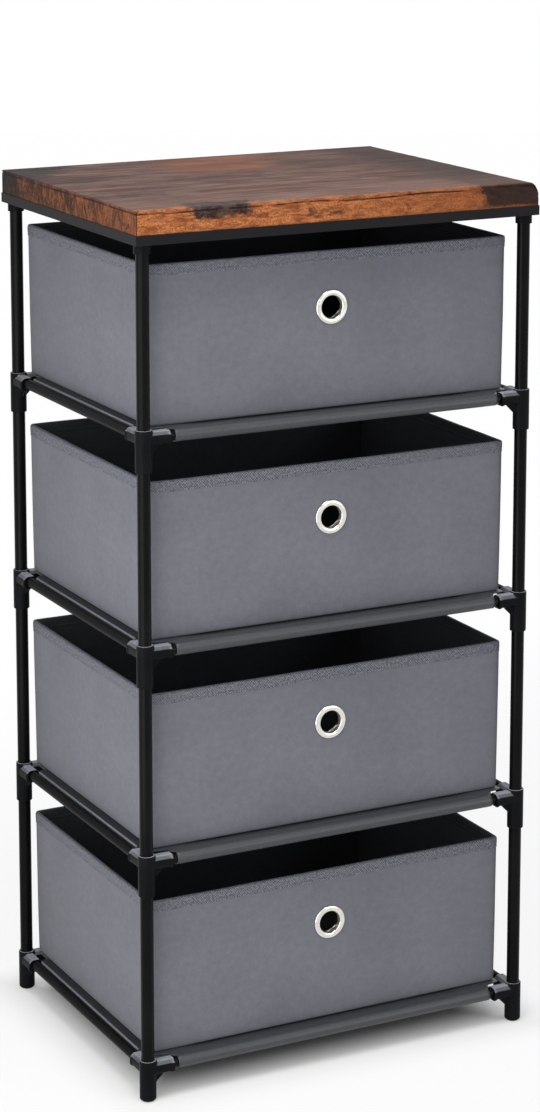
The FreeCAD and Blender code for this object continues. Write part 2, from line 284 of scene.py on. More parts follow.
def moulded_plastic(rack):
    """Satin black plastic with a fine spark-eroded grain; its upward flats get a patchy lighter grey, painted
    light for the light that falls on them.
    """
    r = Recipe("moulded plastic")
    place = r.place()
    grain = r.noise(place, 1500.0, 2.0, 0.6)
    patch = r.noise(place, 22.0, 3.0)
    tone = r.mixed(r.between(patch, 0.3, 0.8), rack.plastic_colour, shaded(rack.plastic_colour, 1.7))
    # painted light: flats that face up are made lighter in patches, standing in for the light from above
    painted_top_light = r.times(r.between(r.facing()[2], 0.55, 0.85), r.between(patch, 0.15, 0.45))
    r.surface(
        Base_Color=r.mixed(painted_top_light, tone, rack.painted_top_light_colour),
        Roughness=r.span(patch, 0.25, 0.75, 0.34, 0.46),
        Specular_IOR_Level=0.04,
        Normal=r.bump(grain, 0.05 * MM))
    return r.material


def nonwoven(name, tone, flat=True, painted_glints=0.0, satin=False, sheen=0.12):
    """Bonded fibre cloth: felted fibres, a fine grid of bonding points and soft clouds in the colour.

    flat lays the pattern out on the flat cloth, and otherwise it follows the object. painted_glints is the
    share of bright specks painted in for the glints of shiny fibres, and satin makes the fibres smoother.
    """
    r = Recipe(name)
    where = r.cloth_place() if flat else r.place()
    fibres = r.noise(where, 900.0, 4.0, 0.7, 1.2)
    wide_clouds, small_clouds = r.noise(where, 9.0, 3.0, 0.55), r.noise(where, 110.0, 4.0, 0.65)
    clouds = r.plus(r.times(wide_clouds, 0.5), r.times(small_clouds, 0.5))
    bonds = r.node("ShaderNodeTexVoronoi", {"Vector": where, "Scale": 620.0, "Randomness": 0.15})
    shade = r.mixed(r.span(clouds, 0.36, 0.64, 0.0, 1.0), shaded(tone, 0.88), shaded(tone, 1.10))
    lighter = r.node("ShaderNodeHueSaturation", {"Color": shade, "Value": 1.22, "Saturation": 0.9}).outputs[0]
    shade = r.mixed(r.span(fibres, 0.3, 0.7, 0.0, 1.0), shade, lighter)
    if painted_glints:
        # painted highlight: bright specks in the colour stand in for glints of shiny fibres
        shade = r.over(shade, (0.55, 0.56, 0.60), r.noise(where, 1300.0, 1.0), 0.62, 0.70, painted_glints)
    smooth, rough, shine = (0.30, 0.50, 0.5) if satin else (0.78, 0.95, 0.25)
    r.surface(
        Base_Color=shade,
        Roughness=r.span(fibres, 0.2, 0.8, smooth, rough),
        Sheen_Weight=sheen,
        Sheen_Roughness=0.5,
        Specular_IOR_Level=shine,
        Normal=r.bump(r.plus(r.times(bonds.outputs["Distance"], 0.7), r.times(fibres, 0.6)), 0.18 * MM))
    return r.material


def woven_binding(cloth):
    """Coarse plain weave in a light and a dark thread, a little slubby; dark where it turns inside."""
    r = Recipe("woven binding")
    where = r.cloth_place()
    threads_per_metre = 620.0
    across = r.parts(r.stretched(where, (threads_per_metre,) * 3))
    slub = r.noise(where, 260.0, 3.0, 0.6)
    warp, weft = (r.math("SINE", r.plus(r.times(way, math.pi), r.times(slub, 3.0))) for way in across[:2])
    over = r.times(warp, weft)
    uneven = r.times(r.noise(where, 360.0, 4.0, 0.75), 3.4)
    share = r.span(r.plus(r.times(over, 0.6), uneven), 1.15, 2.35, 0.0, 1.0)
    weave = r.mixed(share, cloth.binding_dark, cloth.binding_light)
    up_the_band = r.parts(where)[1]
    inside = r.between(up_the_band, cloth.binding_height + 2.2 * MM, cloth.binding_height + 3.4 * MM)
    r.surface(
        Base_Color=r.mixed(inside, weave, cloth.lining_colour),
        Roughness=r.span(slub, 0.2, 0.8, 0.7, 0.92),
        Specular_IOR_Level=0.3,
        Normal=r.bump(over, 0.22 * MM))
    return r.material


def sewing_thread(cloth):
    """Twisted thread."""
    r = Recipe("sewing thread")
    twist = r.noise(r.stretched(r.place(), (1.0, 1.0, 1.4)), 2400.0)
    r.surface(
        Base_Color=r.mixed(twist, shaded(cloth.thread_colour, 0.7), shaded(cloth.thread_colour, 1.5)),
        Roughness=r.span(twist, 0.3, 0.7, 0.5, 0.75),
        Normal=r.bump(twist, 0.05 * MM))
    return r.material


def plated_ring():
    """Bright plating with fine turning marks and a few dull spots."""
    r = Recipe("plated ring")
    place = r.place()
    marks = r.noise(place, 2600.0)
    dull = r.noise(place, 130.0, 3.0)
    r.surface(
        Base_Color=r.mixed(dull, (0.62, 0.60, 0.55), (0.82, 0.80, 0.75)),
        Metallic=1.0,
        Roughness=r.span(dull, 0.3, 0.75, 0.10, 0.26),
        Normal=r.bump(marks, 0.015 * MM))
    return r.material


def fibreboard():
    """Pressed grey-brown board, for the stiffeners."""
    r = Recipe("fibreboard")
    flakes = r.noise(r.place(), 500.0, 5.0, 0.75)
    r.surface(
        Base_Color=r.mixed(r.between(flakes, 0.3, 0.7), (0.16, 0.12, 0.08), (0.34, 0.27, 0.19)),
        Roughness=r.span(flakes, 0.2, 0.8, 0.8, 0.95),
        Normal=r.bump(flakes, 0.1 * MM))
    return r.material


def painted_panel(top):
    """Black painted board with a slight brush texture."""
    r = Recipe("painted panel")
    brush = r.noise(r.stretched(r.place(), (3.0, 40.0, 40.0)), 30.0, 3.0)
    r.surface(
        Base_Color=r.mixed(brush, top.panel_colour, shaded(top.panel_colour, 1.8)),
        Roughness=r.span(brush, 0.2, 0.8, 0.42, 0.58),
        Specular_IOR_Level=0.10,
        Normal=r.bump(brush, 0.08 * MM))
    return r.material


class RusticWood(Recipe):
    """The board's wood: a weathered top face, bright hewn edges with cracks, scorched places, and painted
    shade on the rounded right end and in the cracks.
    """
    # the oval that is rubbed down to fresh wood: its middle and half its size, along X and Y
    rubbed_middle = (-0.005, 0.125)
    rubbed_half = (0.085, 0.075)
    # the scorched patch on the front edge: its middle and half its length along X, and how far down it goes
    patch_middle = -0.151
    patch_half = 0.039
    patch_depth = 0.011
    # the rear left corner is scorched from where 0.8 y - x is the first of these, and fully at the second
    corner_start = 0.350
    corner_full = 0.385

    def __init__(self, top):
        super().__init__("rustic wood")
        self.top = top
        self.low, self.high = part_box("top_board")
        self.where = self.place()
        self.x, self.y, self.z = self.parts(self.where)
        self.streaks = self.grain((3.6, 44.0, 44.0), 3.0, 5.0, 0.60, 0.3)
        self.fine = self.grain((22.0, 220.0, 220.0), 3.0, 4.0, 0.66)
        self.flecks = self.noise(self.where, 420.0, 4.0, 0.75)
        self.ragged = self.times(self.minus(self.noise(self.where, 38.0, 6.0, 0.72), 0.5), 0.11)

    def grain(self, stretch, *settings):
        """Noise that is drawn out along the way with the smallest number in stretch."""
        return self.noise(self.stretched(self.where, stretch), *settings)

    def moved(self, way, share):
        """A place along one way, made ragged by a share."""
        return self.plus(way, self.times(self.ragged, share))

    def weathered_face(self):
        """Long streaks along X over clouds of dark, grey and red, pale in front and dark on the right."""
        top, low, high = self.top, self.low, self.high
        clouds = self.grain((5.0, 9.0, 9.0), 2.2, 4.0, 0.6, 0.6)
        bands = self.grain((1.8, 15.0, 15.0), 3.0, 5.0, 0.60, 0.4)
        red = self.grain((2.4, 20.0, 20.0), 3.2, 5.0, 0.62, 0.4)
        mood = self.plus(self.times(clouds, 0.55), self.times(bands, 0.45))
        face = self.mixed(self.between(mood, 0.40, 0.60), top.face_dark, top.face_grey)
        face = self.over(face, top.face_red, red, 0.52, 0.68, 0.8)
        face = self.over(face, top.face_dark, self.streaks, 0.50, 0.66, 0.5)
        face = self.over(face, top.face_dark, self.fine, 0.48, 0.70, 0.4)
        face = self.over(face, top.face_dark, self.x, high.x - 0.15, high.x - 0.05, 0.7)
        face = self.over(face, shaded(top.face_grey, 1.8), self.y, low.y + 0.12, low.y + 0.01, 0.42)

        # behind the middle it is rubbed down to fresh wood
        ovals = [self.math("POWER", self.math("DIVIDE", self.minus(way, middle), half), 2.0)
                 for way, middle, half in zip((self.x, self.y), self.rubbed_middle, self.rubbed_half)]
        rubbed = self.between(self.minus(self.plus(*ovals), self.times(self.ragged, 9.0)), 1.5, 0.1)
        rubbed = self.times(rubbed, self.span(bands, 0.36, 0.64, 0.15, 0.75))
        return self.mixed(rubbed, face, top.edge_deep)

    def hewn_edge(self, is_end):
        """Fresh wood, mottled and flecked; on the ends the grain stands upright and is singed."""
        top = self.top
        along = self.grain((14.0, 14.0, 60.0), 4.0, 6.0, 0.68, 0.8)
        upright = self.grain((46.0, 46.0, 20.0), 3.0, 6.0, 0.72, 1.4)
        knots = self.grain((16.0, 16.0, 26.0), 2.6, 4.0, 0.6, 1.0)
        singed = self.grain((30.0, 30.0, 16.0), 2.4, 6.0, 0.72, 1.0)
        pores = self.noise(self.where, 900.0, 3.0, 0.7)
        flow = self.node("ShaderNodeMix", {"Factor": is_end, 2: along, 3: upright}).outputs[0]
        edge = self.mixed(self.between(flow, 0.36, 0.62), top.edge_deep, top.edge_light)
        edge = self.over(edge, top.edge_deep, self.flecks, 0.49, 0.62, 0.8)
        edge = self.over(edge, top.face_dark, pores, 0.53, 0.64, 0.9)
        edge = self.over(edge, top.edge_deep, self.x, -0.04, 0.16, 0.5)
        edge = self.over(edge, top.face_dark, knots, 0.57, 0.70, 0.8)
        backward = self.span(self.y, self.low.y, self.high.y, 0.0, 1.0)
        burnt = self.between(self.plus(singed, self.times(backward, 0.10)), 0.42, 0.66)
        burnt = self.times(self.plus(0.50, self.times(burnt, 0.42)), is_end)
        return self.mixed(burnt, edge, top.char)

    def front_patch(self):
        """How scorched the patch on the front edge is."""
        low, foot = self.low, self.high.z - self.patch_depth
        beside = self.minus(self.patch_half, self.math("ABSOLUTE", self.minus(self.x, self.patch_middle)))
        return self.times(
            self.between(self.plus(beside, self.ragged), -0.005, 0.004),
            self.between(self.moved(self.z, 0.3), foot - 0.003, foot + 0.002),
            self.between(self.moved(self.y, 0.4), low.y + 0.036, low.y + 0.022))

    def painted_end_shade(self, is_top):
        """How dark the right-hand end is: painted shade of its rounding, laid on in patches of char."""
        low, high = self.low, self.high
        return self.times(
            self.between(self.plus(self.x, self.ragged), high.x - 0.092, high.x - 0.062),
            self.between(self.noise(self.where, 26.0, 4.0, 0.7), 0.20, 0.34),
            self.between(self.moved(self.z, 0.12), low.z - 0.002, low.z + 0.004),
            self.span(is_top, 0.0, 1.0, 1.0, 0.45))

    def rear_left(self, is_top):
        """How scorched the rear left corner is."""
        corner = self.plus(self.minus(self.times(self.y, 0.8), self.x), self.times(is_top, 0.06))
        return self.between(self.plus(corner, self.ragged), self.corner_start, self.corner_full)

    def finish(self):
        """Puts together face, edges, scorched places, and the painted shade of the right end and of the
        cracks.
        """
        top, low = self.top, self.low
        face_x, _, face_z = self.facing()

        # the fresh edge wraps a little way onto the top along the front
        wander = self.grain((9.0, 9.0, 9.0), 2.4, 5.0, 0.68)
        reach = self.span(wander, 0.38, 0.7, low.y + 0.001, low.y + 0.022)
        wrap = self.times(self.math("LESS_THAN", self.y, reach), 0.7)
        is_top = self.times(self.between(face_z, 0.35, 0.8), self.minus(1.0, wrap))
        is_end = self.between(self.math("ABSOLUTE", face_x), 0.5, 0.8)
        wood = self.mixed(is_top, self.hewn_edge(is_end), self.weathered_face())

        # the front patch and the rear left corner are scorched; the right end's darkening is painted shade in
        # the same char
        patch = scorch = self.front_patch()
        for other in (self.painted_end_shade(is_top), self.rear_left(is_top)):
            scorch = self.math("MAXIMUM", scorch, other)
        bloom = self.between(self.noise(self.where, 150.0, 4.0, 0.7), 0.36, 0.62)
        soot = self.mixed(self.times(bloom, self.span(patch, 0.0, 1.0, 0.10, 0.80)), top.char, top.ash)
        wood = self.mixed(self.times(scorch, 0.93), wood, soot)
        # painted shade: the cracks are cut into the board, and their char-black colour stands in for the
        # shade inside them
        crack = self.node("ShaderNodeAttribute", attribute_name="crack").outputs["Fac"]
        relief = self.plus(self.times(self.streaks, 0.5), self.times(self.fine, 0.35))
        relief = self.plus(relief, self.times(self.flecks, 0.3))
        self.surface(
            Base_Color=self.mixed(crack, wood, top.char),
            Roughness=self.span(self.streaks, 0.2, 0.8, 0.50, 0.72),
            Specular_IOR_Level=0.10,
            Normal=self.bump(relief, 0.4 * MM))
        return self.material


# ---- meshes ----

def put(name, data):
    """A new object in the scene."""
    made = bpy.data.objects.new(name, data)
    bpy.context.scene.collection.objects.link(made)
    return made


def mesh_of(build, name):
    """Turns a bmesh into a mesh and frees it."""
    mesh = bpy.data.meshes.new(name)
    build.to_mesh(mesh)
    build.free()
    return mesh


def merged(mesh, distance, outward=False):
    """A copy of a mesh with its doubled points merged and, if asked for, its faces turned outwards."""
    build = bmesh.new()
    build.from_mesh(mesh)
    bmesh.ops.remove_doubles(build, verts=build.verts, dist=distance)
    if outward:
        bmesh.ops.recalc_face_normals(build, faces=build.faces)
    return mesh_of(build, mesh.name)


def slab(size, middle):
    """A box, as a bmesh."""
    build = bmesh.new()
    bmesh.ops.create_cube(build, size=1.0)
    bmesh.ops.scale(build, vec=size, verts=build.verts)
    bmesh.ops.translate(build, vec=middle, verts=build.verts)
    return build


def add_rod(build, radius, run, middle, segments):
    """Adds a round rod along Y to a bmesh."""
    bmesh.ops.create_cone(
        build, cap_ends=True, segments=segments, radius1=radius, radius2=radius, depth=run,
        matrix=Matrix.Translation(middle) @ Matrix.Rotation(math.pi / 2, 4, "X"))


def round_off(build, edges, offset, segments=3):
    """Rounds edges of a bmesh."""
    bmesh.ops.bevel(build, geom=edges, offset=offset, segments=segments, profile=0.5, affect="EDGES")


def sheet_mesh(name, rows, places, wrap=False, fill_first=False):
    """A mesh of quads through rows of points, with the flat cloth's coordinates as its UV map.

    wrap joins the last column to the first, and then each row of places has one entry more.
    fill_first closes the first row with one face.
    """
    build = bmesh.new()
    cloth = build.loops.layers.uv.new("cloth")
    grid = [[build.verts.new(p) for p in row] for row in rows]
    count = len(rows[0])
    for i in range(len(rows) - 1):
        for j in range(count if wrap else count - 1):
            k = (j + 1) % count
            face = build.faces.new((grid[i][j], grid[i][k], grid[i + 1][k], grid[i + 1][j]))
            spots = (places[i][j], places[i][j + 1], places[i + 1][j + 1], places[i + 1][j])
            for loop, spot in zip(face.loops, spots):
                loop[cloth].uv = spot
    if fill_first:
        face = build.faces.new(list(reversed(grid[0])))
        for loop in face.loops:
            loop[cloth].uv = loop.vert.co.xy
    return mesh_of(build, name)


def runs_mesh(runs):
    """A mesh of edges only, along runs of points; each run is (points, closed)."""
    spots, edges = [], []
    for points, closed in runs:
        first = len(spots)
        spots += [tuple(p) for p in points]
        edges += [(k, k + 1) for k in range(first, len(spots) - 1)]
        if closed:
            edges.append((len(spots) - 1, first))
    mesh = bpy.data.meshes.new("runs")
    mesh.from_pydata(spots, edges, [])
    return mesh


def finished_mesh(mesh, *steps):
    """The mesh after modifiers; each step sets one up on the object that it is given."""
    holder = put("holder", mesh)
    for step in steps:
        step(holder)
    depsgraph = bpy.context.evaluated_depsgraph_get()
    result = bpy.data.meshes.new_from_object(
        holder.evaluated_get(depsgraph), preserve_all_data_layers=True, depsgraph=depsgraph)
    bpy.data.objects.remove(holder)
    return result


def thickness(amount, offset):
    """A step that gives a sheet its thickness."""
    def step(holder):
        solid = holder.modifiers.new("thickness", "SOLIDIFY")
        solid.thickness = amount
        solid.offset = offset
        solid.use_even_offset = False
    return step


def opening(cutter):
    """A step that cuts another object out."""
    def step(holder):
        cut = holder.modifiers.new("opening", "BOOLEAN")
        cut.operation = "DIFFERENCE"
        cut.solver = "EXACT"
        cut.object = cutter
    return step


def rounding(grid, repeats):
    """A step that rounds every edge of a solid, as a mould does."""
    def step(holder):
        skin = holder.modifiers.new("skin", "REMESH")
        skin.mode = "VOXEL"
        skin.voxel_size = grid
        ease = holder.modifiers.new("ease", "SMOOTH")
        ease.factor = 0.5
        ease.iterations = repeats
    return step


def growing(tree, values):
    """A step that runs a geometry tree, with its inputs by name."""
    def step(holder):
        modifier = holder.modifiers.new("tree", "NODES")
        modifier.node_group = tree
        for item in tree.interface.items_tree:
            if item.item_type == "SOCKET" and item.in_out == "INPUT" and item.name in values:
                modifier[item.identifier] = values[item.name]
    return step


def add_piece(name, mesh, material, body, stands_for=()):
    """Puts a finished mesh in the scene as a piece that rides on a body."""
    mesh.materials.clear()
    mesh.materials.append(material)
    mesh.shade_smooth()
    piece = put(name, mesh)
    if stands_for:
        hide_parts(*stands_for)
    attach(piece, body)
    return piece


def finish_nodes(material, names):
    """Gives nodes whose shape stays their material."""
    for name in names:
        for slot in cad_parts[name].material_slots:
            slot.material = material


def named(beginning="", ending=""):
    """The nodes whose names start and end so."""
    return sorted(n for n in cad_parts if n.startswith(beginning) and n.endswith(ending))


# ---- geometry trees ----

class Growth:
    """Builds one geometry tree with named inputs, which ends in real copies of one material."""

    def __init__(self, name, inputs):
        self.tree = bpy.data.node_groups.new(name, "GeometryNodeTree")
        face = self.tree.interface
        face.new_socket("Geometry", in_out="INPUT", socket_type="NodeSocketGeometry")
        for label, kind in inputs.items():
            face.new_socket(label, in_out="INPUT", socket_type=kind)
        face.new_socket("Material", in_out="INPUT", socket_type="NodeSocketMaterial")
        face.new_socket("Geometry", in_out="OUTPUT", socket_type="NodeSocketGeometry")
        self.given = self.tree.nodes.new("NodeGroupInput").outputs

    def node(self, kind, inputs=None, **settings):
        """The outputs of a new node."""
        return add_node(self.tree, kind, inputs or {}, settings).outputs

    def end(self, geometry):
        """Makes every copy real, gives it its material and hands it out."""
        real = self.node("GeometryNodeRealizeInstances", {"Geometry": geometry})
        done = self.node("GeometryNodeSetMaterial", {"Geometry": real[0], "Material": self.given["Material"]})
        self.tree.links.new(done[0], self.tree.nodes.new("NodeGroupOutput").inputs["Geometry"])
        return self.tree


def stitch_tree():
    """Stitches laid end to end with a gap along a path, each a short plump thread of its own length."""
    g = Growth("stitches", {
        "Stitch length": "NodeSocketFloat", "Gap": "NodeSocketFloat", "Thread radius": "NodeSocketFloat"})
    long, radius = g.given["Stitch length"], g.given["Thread radius"]
    path = g.node("GeometryNodeMeshToCurve", {"Mesh": g.given["Geometry"]})
    step = g.node("ShaderNodeMath", {0: long, 1: g.given["Gap"]})
    spots = g.node("GeometryNodeResampleCurve", {"Curve": path[0], "Length": step[0]}, mode="LENGTH")
    thread = g.node("GeometryNodeMeshUVSphere", {"Segments": 6, "Rings": 6, "Radius": 1.0})
    half = g.node("ShaderNodeMath", {0: long, 1: 0.5}, operation="MULTIPLY")
    size = g.node("ShaderNodeCombineXYZ", {"X": half[0], "Y": radius, "Z": radius})
    shaped = g.node("GeometryNodeTransform", {"Geometry": thread[0], "Scale": size[0]})
    along = g.node("GeometryNodeInputTangent")
    turn = g.node("FunctionNodeAlignRotationToVector", {"Vector": along[0]}, axis="X")
    stretch = g.node("FunctionNodeRandomValue", {2: 0.88, 3: 1.08, "Seed": 7})
    threads = g.node("GeometryNodeInstanceOnPoints", {
        "Points": spots[0], "Instance": shaped[0], "Rotation": turn[0], "Scale": stretch[1]})
    return g.end(threads[0])


def turning_tree():
    """Turns an outline, drawn in the XY plane with X as the radius, about the Y axis of the object."""
    g = Growth("turned ring", {"Steps": "NodeSocketInt"})
    outline = g.node("GeometryNodeMeshToCurve", {"Mesh": g.given["Geometry"]})
    circle = g.node("GeometryNodeCurvePrimitiveCircle", {"Resolution": g.given["Steps"], "Radius": 1 * MM})
    upright = g.node("GeometryNodeTransform", {"Geometry": circle[0], "Rotation": (math.pi / 2, 0, 0)})
    ring = g.node("GeometryNodeCurveToMesh", {"Curve": upright[0], "Profile Curve": outline[0]})
    return g.end(ring[0])


def stitches(name, runs, cloth, tree, material, body):
    """One piece with the stitches along several runs of points; each run is (points, closed)."""
    mesh = finished_mesh(runs_mesh(runs), growing(tree, {
        "Stitch length": cloth.stitch_length, "Gap": cloth.stitch_gap,
        "Thread radius": cloth.thread_radius, "Material": material}))
    return add_piece(name, mesh, material, body)


# ---- uneven shapes ----

def ripple(point, scale, seed):
    """A smooth random value from -1 to 1 at a point of a cloth or of the board."""
    return noise.noise(Vector((point[0] * scale, point[1] * scale, seed)))


def eased(value, low, high):
    """0 below low and 1 above high, with a smooth rise."""
    share = min(max((value - low) / (high - low), 0.0), 1.0)
    return share * share * (3.0 - 2.0 * share)


# ---- drawers ----

class DrawerForm:
    """The outline of one drawer, read from its outer shell node.

    lean is how far the walls lean in at the bottom, and proud is how far the shell's hem stands out.
    """
    corner = 6.0 * MM
    lean = 2.0 * MM
    proud = 0.5 * MM
    front_steps = 72
    side_steps = 52
    bend_steps = 5

    def __init__(self, tier):
        low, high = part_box(f"drawer_{tier}_shell")
        self.bottom = low.z
        self.top = high.z
        self.tall = high.z - low.z
        self.half = high.x - self.proud
        self.front = low.y + self.proud
        self.rear = high.y - self.proud

    def ring(self, inset, height):
        """Points round the drawer from the middle of the rear, as (place, outward, distance)."""
        lean = self.lean * (1.0 - height / self.tall)
        half = self.half - lean - inset
        front, rear = self.front + inset, self.rear - inset
        bend = max(self.corner - inset, 0.3 * MM)
        centres = [(-half + bend, rear - bend, 90), (-half + bend, front + bend, 180),
                   (half - bend, front + bend, 270), (half - bend, rear - bend, 0)]
        walls = [self.side_steps, self.front_steps, self.side_steps]
        points = [(Vector((-t * (half - bend), rear)), Vector((0, 1)))
                  for t in self.shares(self.front_steps // 2)]
        for index, (cx, cy, start) in enumerate(centres):
            for step in range(self.bend_steps + 1):
                turn = math.radians(start + 90 * step / self.bend_steps)
                out = Vector((math.cos(turn), math.sin(turn)))
                points.append((Vector((cx, cy)) + bend * out, out))
            if index < 3:
                out = points[-1][1].copy()
                nx, ny, follow = centres[index + 1]
                turn = math.radians(follow)
                here = points[-1][0]
                there = Vector((nx, ny)) + bend * Vector((math.cos(turn), math.sin(turn)))
                points += [(here.lerp(there, t), out) for t in self.shares(walls[index])[1:]]
        points += [(Vector((t * (half - bend), rear)), Vector((0, 1)))
                   for t in reversed(self.shares(self.front_steps // 2)[1:])]
        result, distance = [], 0.0
        for index, (place, out) in enumerate(points):
            if index:
                distance += (place - points[index - 1][0]).length
            result.append((place, out, distance))
        return result

    @staticmethod
    def shares(steps):
        """Even steps from 0 up to, but not including, 1."""
        return [i / steps for i in range(steps)]

    def round_length(self):
        """The way once round the drawer."""
        ring = self.ring(0.0, 0.0)
        return ring[-1][2] + (ring[0][0] - ring[-1][0]).length


def wall_grid(form, layers, around, swell):
    """Rows and flat places for a bag: layers is a list of (inset, height, run along the cloth).

    swell(place, height) gives how far a point stands off.
    """
    rows, places = [], []
    for inset, height, run in layers:
        row, spots = [], []
        for place, out, distance in form.ring(inset, height):
            spot = place + out * swell(place, height)
            row.append(Vector((spot.x, spot.y, form.bottom + height)))
            spots.append((distance, run))
        spots.append((around, run))
        rows.append(row)
        places.append(spots)
    return rows, places


def bag_layers(inset, foot, rim, bend):
    """Floor rings, the rounded bottom edge and the wall of a bag, from the middle of the floor upwards."""
    step = 6 * MM
    layers = [(inset + run, foot, -run) for run in (160 * MM, 120 * MM, 70 * MM, 30 * MM, 12 * MM)]
    for k in range(4):
        turn = math.radians(90 * k / 3)
        layers.append((inset + bend * (1 - math.sin(turn)), foot + bend * (1 - math.cos(turn)), bend * turn))
    height = foot + bend + step
    while height < rim - step / 2:
        layers.append((inset, height, height))
        height += step
    layers.append((inset, rim, rim))
    return layers


def eyelet_height():
    """How far the eyelet's middle lies above the bottom of its drawer."""
    low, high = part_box("drawer_1_eyelet")
    return (low.z + high.z) / 2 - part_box("drawer_1_shell")[0].z


def drawer_swell(form, depth, seed, inward):
    """How the cloth of a drawer's wall stands off its boards: most between the edges, not at the eyelet."""
    eyelet = eyelet_height()
    held, loose = 22 * MM, 60 * MM

    def swell(place, height):
        free = math.sin(math.pi * min(max(height / form.tall, 0.0), 1.0)) ** 0.6
        hold = eased(math.hypot(place.x, height - eyelet) if place.y < 0 else 1.0, held, loose)
        soft = 0.5 + 0.5 * ripple((place.x + 2 * place.y, height), 9.0, seed)
        fine = ripple((place.x + 2 * place.y, height * 0.4), 38.0, seed + 5.0)
        value = depth * free * hold * (soft + 0.18 * fine)
        return -value if inward else value

    return swell


def drawer_cutter(form):
    """A round bar through the front wall, a little wider than the eyelet's barrel."""
    radius, run, segments = 13 * MM, 30 * MM, 48
    build = bmesh.new()
    add_rod(build, radius, run, (0, form.front, form.bottom + eyelet_height()), segments)
    return put("bar", mesh_of(build, "bar"))


def binding_outline(cloth, wall):
    """The folded band across: up the outside, over the top and down the inside, as (outward, up)."""
    t = cloth.binding_thickness
    tall = cloth.binding_height
    seam = tall - BINDING_SEAM
    clear = 0.05 * MM
    shoulder = 2.4 * MM
    outside = [(clear, -tall), (t, -tall), (t + 0.2 * MM, -tall + 1.2 * MM), (t - 0.15 * MM, -seam),
               (t + 0.2 * MM, -seam + 2.0 * MM), (t + 0.3 * MM, -tall / 2), (t + 0.2 * MM, -shoulder)]
    crown = []
    crown_height = 1.6 * MM
    half = (wall + 2 * t) / 2
    for step in range(7):
        turn = math.pi * (step + 1) / 8
        crown.append((t - half + half * math.cos(turn) * 1.02, -crown_height + crown_height * math.sin(turn)))
    inside = [(-wall - t - 0.2 * MM, -shoulder), (-wall - t - 0.3 * MM, -tall / 2),
              (-wall - t - 0.1 * MM, -seam + 2.0 * MM), (-wall - t + 0.2 * MM, -seam),
              (-wall - t - 0.1 * MM, -tall + 1.2 * MM), (-wall - t, -tall), (-wall - clear, -tall)]
    slot = [(-wall - clear, -t - 0.6 * MM), (clear, -t - 0.6 * MM)]
    return outside + crown + inside + slot


def binding_mesh(form, cloth, wall, seed):
    """The band round the mouth, swept along the rim."""
    outline = binding_outline(cloth, wall)
    around = form.round_length()
    rim = form.ring(0.0, form.tall)
    sag, unevenness = 0.35 * MM, 0.12 * MM
    rows, places, run = [], [], 0.0
    for index, (out, up) in enumerate(outline + outline[:1]):
        if index:
            before = outline[index - 1]
            run += math.hypot(out - before[0], up - before[1])
        row, spots = [], []
        for place, normal, distance in rim:
            droop = sag * ripple(place, 14.0, seed)
            spot = place + normal * (out + unevenness * ripple(place, 60.0, seed + 3))
            row.append(Vector((spot.x, spot.y, form.top + up + droop - sag)))
            spots.append((distance, run))
        spots.append((around, run))
        rows.append(row)
        places.append(spots)
    return merged(sheet_mesh("binding", rows, places, wrap=True), SAME_POINT, outward=True)


def rim_run(form, out, height):
    """A closed run of points round the drawer, for its stitches."""
    points = [Vector((place.x + normal.x * out, place.y + normal.y * out, form.bottom + height))
              for place, normal, _ in form.ring(0.0, height)]
    return points, True


def eyelet_outline(hole, flange, wall):
    """Across a pressed eyelet: a domed flange, the barrel and the rolled back, as (depth, radius)."""
    metal = 0.8 * MM
    dome = 2.4 * MM
    roll = 1.1 * MM
    washer = hole + 5.5 * MM
    washer_face = wall - 0.3 * MM
    points = []
    for step in range(13):
        turn = math.pi * step / 12
        radius = (hole + flange) / 2 + (flange - hole) / 2 * math.cos(turn)
        rise = dome * math.sin(turn) ** 0.7
        points.append((-rise - 0.2 * MM * step / 12, radius))
    back = wall + roll
    points.append((back, hole))
    for step in range(1, 7):
        turn = math.radians(-90 + 180 * step / 6)
        points.append((back + roll * math.cos(turn) * 0.8, hole + roll + roll * math.sin(turn)))
    points += [(wall, washer), (washer_face, washer), (washer_face, hole + metal),
               (0.0, hole + metal), (0.0, flange - 0.4 * MM)]
    return points


# ---- board ----

def board_outline(half, corner, inset, spacing):
    """Points round a rounded rectangle from its front left corner, as (place, outward)."""
    bend = max(corner - inset, 0.3 * MM)
    inner_x, inner_y = half.x - inset - bend, half.y - inset - bend
    corners = [(-1, -1, 180), (1, -1, 270), (1, 1, 0), (-1, 1, 90)]
    points = []
    for index, (side_x, side_y, start) in enumerate(corners):
        centre = Vector((side_x * inner_x, side_y * inner_y))
        for step in range(7):
            turn = math.radians(start + 15 * step)
            out = Vector((math.cos(turn), math.sin(turn)))
            points.append((centre + bend * out, out))
        next_x, next_y, turn = corners[(index + 1) % 4]
        out = Vector((round(math.cos(math.radians(turn))), round(math.sin(math.radians(turn)))))
        here = points[-1][0]
        there = Vector((next_x * inner_x, next_y * inner_y)) + bend * out
        count = round(2 * (half.x if index % 2 == 0 else half.y) / spacing)
        points += [(here.lerp(there, k / count), out) for k in range(1, count)]
    return points


def board_levels(low, high, wear, seam):
    """The side and the top of the board from the underside upwards, as (inset, height, crack, hewn)."""
    levels = [(90 * MM, low, 0, 0), (8 * MM, low, 0, 0), (0.8 * MM, low, 0, 0), (0.0, low + 0.8 * MM, 0, 1)]
    levels += [(0.0, low + (seam - low) * share, 0, 1) for share in (0.15, 0.3, 0.45, 0.6, 0.75, 0.88)]
    levels += [(0.0, seam + shift * MM, max(1 - abs(shift) / 1.3, 0), 1)
               for shift in (-1.5, -0.7, 0.0, 0.6, 1.1)]
    for step in range(6):
        turn = math.radians(18 * step)
        levels.append((wear * (1 - math.cos(turn)), high - wear * (1 - math.sin(turn)), 0, 1 - step / 8))
    for inset in (1.3, 3, 5, 7, 9, 11, 13, 17, 24, 40, 90):
        levels.append((wear + inset * MM, high, 0, eased(14 * MM, 0.0, 14 * MM + inset * MM)))
    return levels


